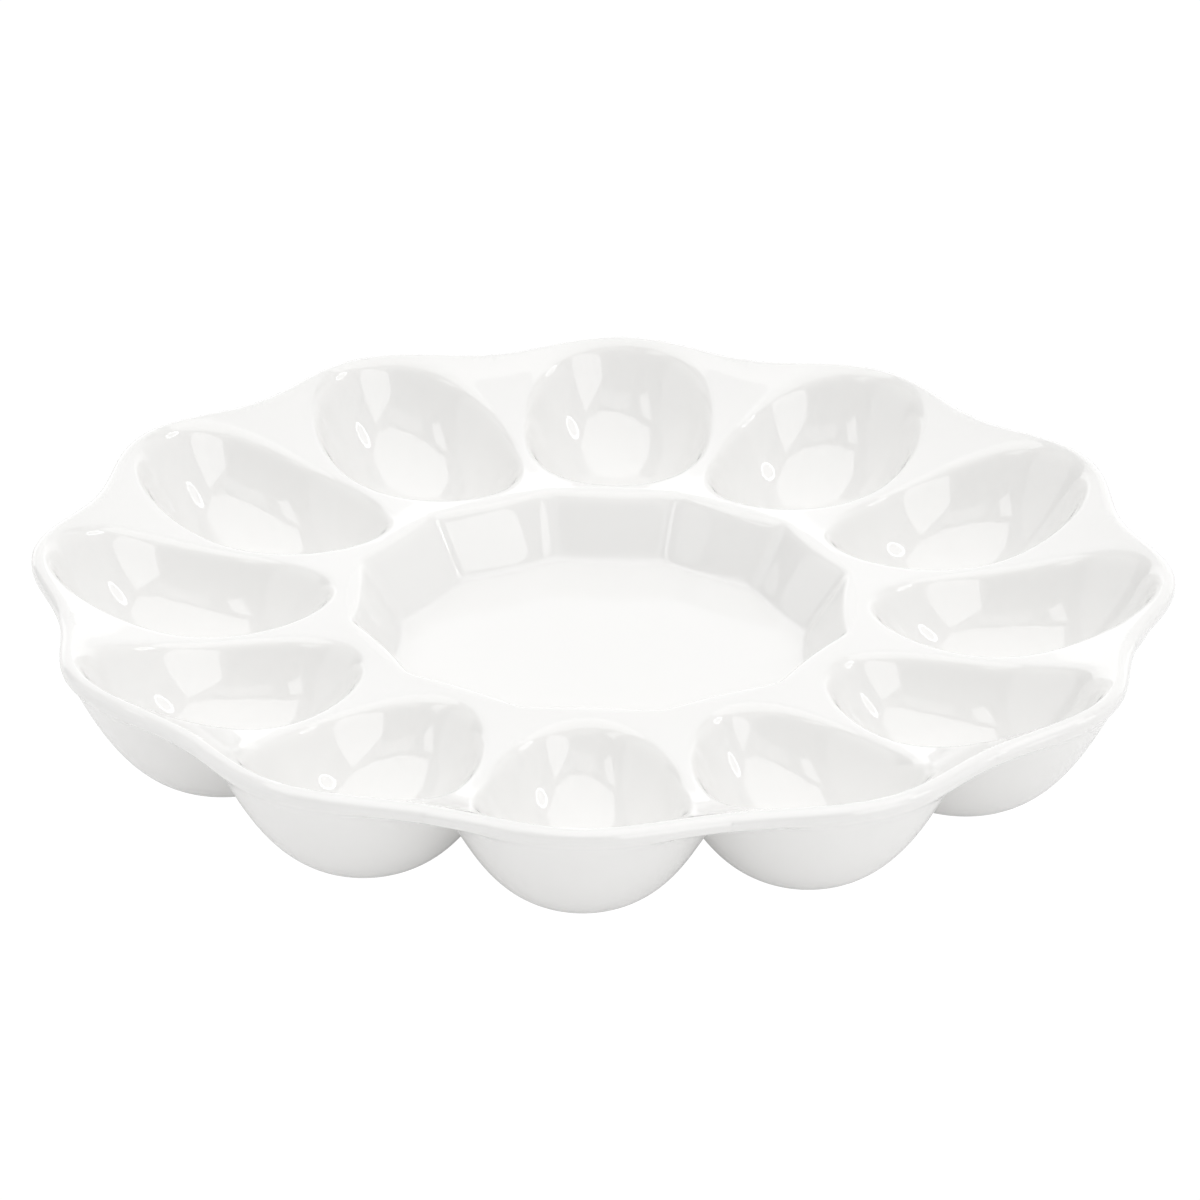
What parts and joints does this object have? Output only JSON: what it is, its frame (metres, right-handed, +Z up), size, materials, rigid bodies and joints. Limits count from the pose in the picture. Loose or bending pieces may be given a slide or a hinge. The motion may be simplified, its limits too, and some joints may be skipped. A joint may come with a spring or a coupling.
{
  "type": "deviled egg platter",
  "caption": "Round white glazed ceramic serving platter with a scalloped rim, egg-shaped hollows in a ring and a many-sided sunken bowl in the centre.",
  "frame": {"origin": "centre of the platter, on the plane of its feet", "axes": "+Z up out of the hollows; +Y towards egg_cup_01; +X to the right when +Y is away from the viewer"},
  "size_m": [0.28, 0.28, 0.0357],
  "materials": {
    "white_glaze": "clear glossy glaze on off-white fired clay"
  },
  "bodies": {
    "root": {"scalloped_deck": "white_glaze", "centre_bowl_wall": "white_glaze", "centre_bowl_floor": "white_glaze", "egg_cup_01": "white_glaze", "egg_cup_02": "white_glaze", "egg_cup_03": "white_glaze", "egg_cup_04": "white_glaze", "egg_cup_05": "white_glaze", "egg_cup_06": "white_glaze", "egg_cup_07": "white_glaze", "egg_cup_08": "white_glaze", "egg_cup_09": "white_glaze", "egg_cup_10": "white_glaze", "egg_cup_11": "white_glaze", "egg_cup_12": "white_glaze"}
  },
  "joints": []
}
